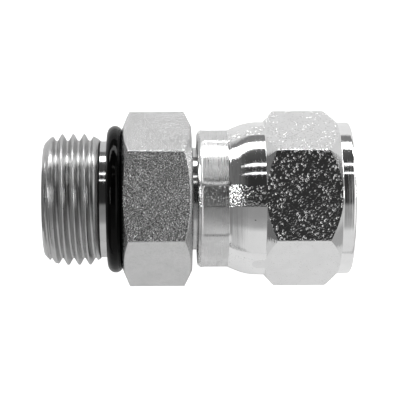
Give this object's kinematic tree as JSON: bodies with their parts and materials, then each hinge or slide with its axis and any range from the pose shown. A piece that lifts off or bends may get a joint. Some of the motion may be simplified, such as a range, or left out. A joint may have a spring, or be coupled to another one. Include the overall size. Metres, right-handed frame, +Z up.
{
  "type": "hydraulic swivel fitting",
  "caption": "Straight hydraulic adapter: threaded boss stud with a rubber sealing ring, a wrench hexagon, and a crimped swivel nut that turns on a coned nose.",
  "frame": {"origin": "middle of the fitting's length, under its axis, on the surface that the flats rest on", "axes": "+X along the axis of the fitting, from the stud to the swivel nut; +Z up, square to the flats that it rests on"},
  "size_m": [0.044, 0.0254, 0.022],
  "materials": {
    "satin_zinc_plate": "satin zinc plate with a fine grain",
    "bright_zinc_plate": "bright zinc plate, mirror-like with small specks",
    "nitrile_rubber": "glossy black"
  },
  "bodies": {
    "adapter_body": {"body": "satin_zinc_plate", "sealing_ring": "nitrile_rubber"},
    "nut": {"swivel_nut": "bright_zinc_plate"}
  },
  "joints": [
    {"name": "nut_swivel", "type": "hinge", "parent": "adapter_body", "child": "nut", "pos_m": [0, 0, 0.011], "axis": [1, 0, 0], "continuous": true}
  ]
}
